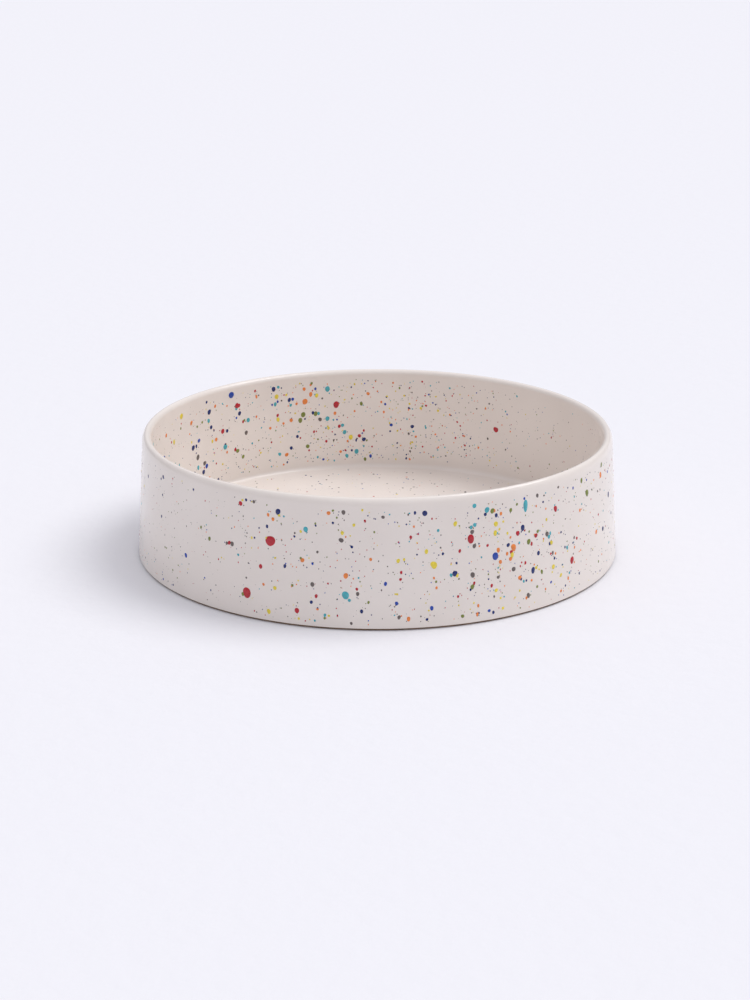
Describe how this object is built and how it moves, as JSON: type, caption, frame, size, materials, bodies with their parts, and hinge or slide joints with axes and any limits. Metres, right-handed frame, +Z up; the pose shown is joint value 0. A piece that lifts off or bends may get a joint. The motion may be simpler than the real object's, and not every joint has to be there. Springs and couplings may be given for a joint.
{
  "type": "serving bowl",
  "caption": "Low round stoneware serving bowl with nearly upright walls, flat floor, bare foot ring and a white glaze splattered with coloured enamel drops.",
  "frame": {"origin": "middle of the foot ring, on the plane that the bowl stands on", "axes": "+Z up along the bowl's axis, +X to the right in the picture, -Y towards the viewer"},
  "size_m": [0.241, 0.241, 0.062],
  "materials": {
    "clay": "bare fired stoneware, matt",
    "glaze": "warm white gloss glaze",
    "underside": "warm white glaze",
    "enamel_blue": "gloss coloured enamel",
    "enamel_navy": "gloss coloured enamel",
    "enamel_olive": "gloss coloured enamel",
    "enamel_orange": "gloss coloured enamel",
    "enamel_red": "gloss coloured enamel",
    "enamel_teal": "gloss coloured enamel",
    "enamel_yellow": "gloss coloured enamel"
  },
  "bodies": {
    "root": {"blue_drop_inside_1": "enamel_blue", "blue_drop_outside_1": "enamel_blue", "clay_body": "clay", "glaze_coat": "glaze", "navy_drop_inside_1": "enamel_navy", "navy_drop_inside_2": "enamel_navy", "navy_drop_outside_1": "enamel_navy", "olive_drop_inside_1": "enamel_olive", "olive_drop_outside_1": "enamel_olive", "orange_drop_inside_1": "enamel_orange", "orange_drop_outside_1": "enamel_orange", "orange_drop_outside_2": "enamel_orange", "red_drop_inside_1": "enamel_red", "red_drop_inside_2": "enamel_red", "red_drop_inside_3": "enamel_red", "red_drop_inside_4": "enamel_red", "red_drop_outside_1": "enamel_red", "red_drop_outside_2": "enamel_red", "red_drop_outside_3": "enamel_red", "red_drop_outside_4": "enamel_red", "teal_drop_inside_1": "enamel_teal", "teal_drop_inside_2": "enamel_teal", "teal_drop_outside_1": "enamel_teal", "teal_drop_outside_2": "enamel_teal", "underside_glaze": "underside", "yellow_drop_inside_1": "enamel_yellow", "yellow_drop_outside_1": "enamel_yellow"}
  },
  "joints": []
}
